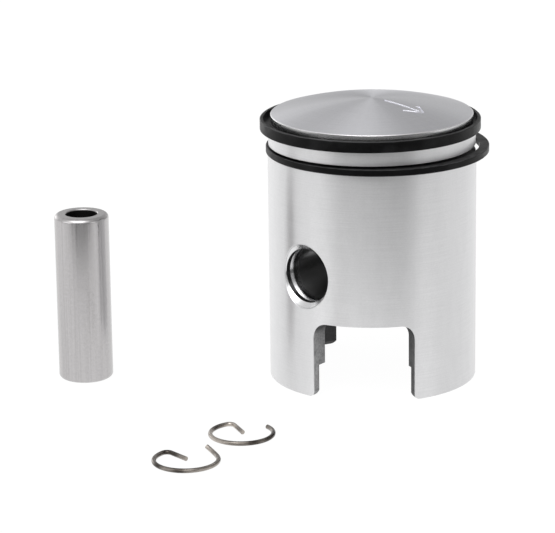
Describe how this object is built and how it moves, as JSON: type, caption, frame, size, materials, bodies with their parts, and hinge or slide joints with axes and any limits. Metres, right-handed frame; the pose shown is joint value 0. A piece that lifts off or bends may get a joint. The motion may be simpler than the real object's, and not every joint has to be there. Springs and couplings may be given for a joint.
{
  "type": "two-stroke piston set",
  "caption": "Small two-stroke engine piston with sprung-open rings in its grooves, and its hollow gudgeon pin and wire circlips laid out beside it.",
  "frame": {"origin": "on the piston axis at the centre of the gudgeon-pin bore; the set stands on the plane z = -22.3 mm", "axes": "+Z along the piston axis towards the crown; Y along the gudgeon-pin bore; +X the way the crown's arrow points"},
  "size_m": [0.0645, 0.0861, 0.052],
  "materials": {
    "piston_aluminium": "fine turned, bare",
    "ring_iron": "black phosphate, satin",
    "peg_steel": "drawn wire",
    "pin_steel": "hardened and ground",
    "spring_wire": "oil-tempered spring wire"
  },
  "bodies": {
    "piston": {"piston_body": "piston_aluminium", "top_ring_peg": "peg_steel", "second_ring_peg": "peg_steel"},
    "top_ring": {"top_ring": "ring_iron"},
    "second_ring": {"second_ring": "ring_iron"},
    "wrist_pin": {"wrist_pin": "pin_steel"},
    "circlip_left": {"circlip_left": "spring_wire"},
    "circlip_right": {"circlip_right": "spring_wire"}
  },
  "joints": [
    {"name": "top_ring_turn", "type": "hinge", "parent": "piston", "child": "top_ring", "pos_m": [-0.00022, -0.0002, 0.0251], "axis": [0, 0, 1], "range_deg": [-10.9, 9.2]},
    {"name": "second_ring_turn", "type": "hinge", "parent": "piston", "child": "second_ring", "pos_m": [0.00074, 0.00068, 0.0206], "axis": [0, 0, 1], "range_deg": [-9.4, 14.8]},
    {"name": "wrist_pin_lift", "type": "slide", "parent": "piston", "child": "wrist_pin", "axis": [0, 0, 1], "range_m": [0, 0.06]},
    {"name": "circlip_left_lift", "type": "slide", "parent": "piston", "child": "circlip_left", "axis": [0, 0, 1], "range_m": [0, 0.06]},
    {"name": "circlip_right_lift", "type": "slide", "parent": "piston", "child": "circlip_right", "axis": [0, 0, 1], "range_m": [0, 0.06]}
  ]
}
